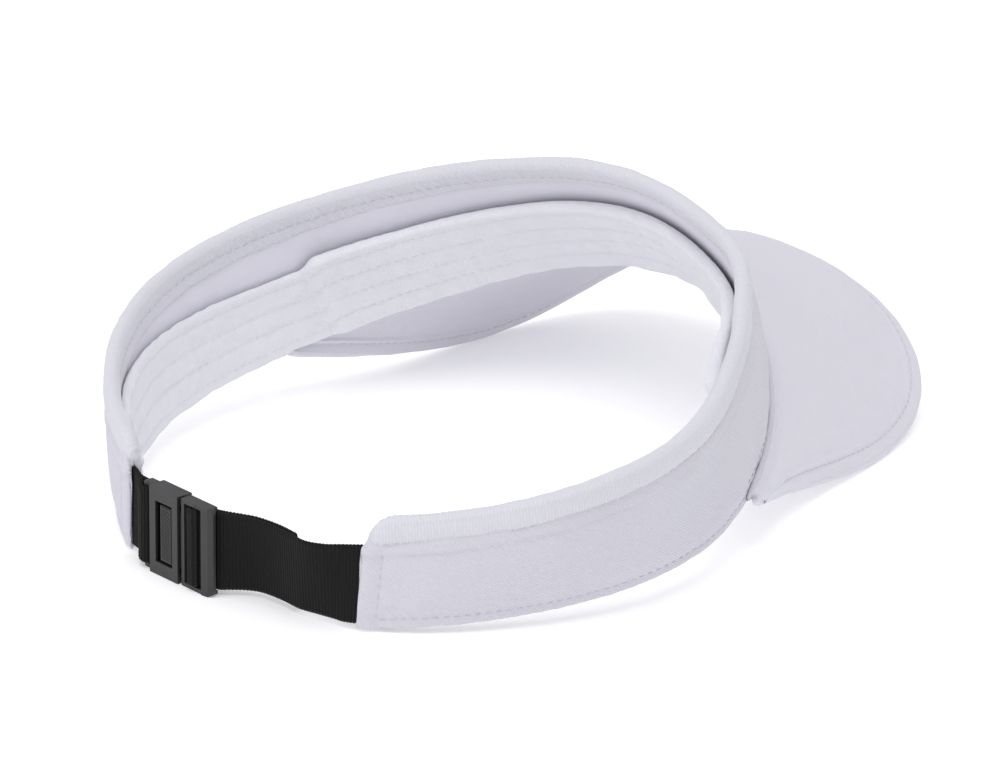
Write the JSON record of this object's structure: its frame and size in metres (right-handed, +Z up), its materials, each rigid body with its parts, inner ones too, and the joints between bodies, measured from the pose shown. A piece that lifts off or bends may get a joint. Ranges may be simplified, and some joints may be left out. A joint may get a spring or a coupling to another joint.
{
  "type": "sun visor",
  "caption": "Sun visor: a fabric head band with a padded sweatband, a curved stiffened brim and a webbing strap with a centre-press buckle.",
  "frame": {"origin": "middle of the footprint's box, on the surface that the visor stands on", "axes": "+Z up, -Y the way the brim points, +X the wearer's left"},
  "size_m": [0.2054, 0.2657, 0.0855],
  "materials": {
    "twill": "white polyester twill",
    "lining": "smooth white fabric",
    "binding": "ribbed white bias tape",
    "sweatband": "white brushed knit over foam",
    "foam": "open-cell padding",
    "buckram": "stiff woven interfacing",
    "stiffener": "flexible polyethylene sheet",
    "webbing": "black ribbed polyester webbing",
    "buckle": "moulded black acetal, fine matte"
  },
  "bodies": {
    "visor": {"band_outer_panel": "twill", "band_interfacing": "buckram", "band_lining": "lining", "top_edge_binding": "binding", "brim_seam_tape": "binding", "sweatband_front_cover": "sweatband", "sweatband_front_foam": "foam", "sweatband_left_rear": "sweatband", "sweatband_right_rear": "sweatband", "brim_stiffener": "stiffener", "brim_top_cover": "twill", "brim_under_cover": "twill", "brim_edge_roll": "binding", "short_strap_loop": "webbing", "long_strap": "webbing", "buckle_female_housing": "buckle"},
    "male_half": {"buckle_male_frame": "buckle", "strap_bight": "webbing"},
    "press_tongue": {"buckle_press_tongue": "buckle"},
    "free_strap_end": {"strap_tail": "webbing"}
  },
  "joints": [
    {"name": "buckle_release", "type": "slide", "parent": "visor", "child": "male_half", "axis": [-0.9903, 0.1392, 0], "range_m": [0, 0.0125], "deforming": ["long_strap", "buckle_press_tongue", "strap_tail"]},
    {"name": "latch_press", "type": "hinge", "parent": "male_half", "child": "press_tongue", "pos_m": [0.01538, 0.1298, 0.0136], "axis": [0, 0, -1], "range_deg": [0, 12.5], "stiffness_Nm_per_rad": 0.1},
    {"name": "strap_adjust", "type": "slide", "parent": "male_half", "child": "free_strap_end", "axis": [-0.9903, 0.1392, 0], "range_m": [-0.008, 0.008], "deforming": ["strap_tail"]}
  ]
}
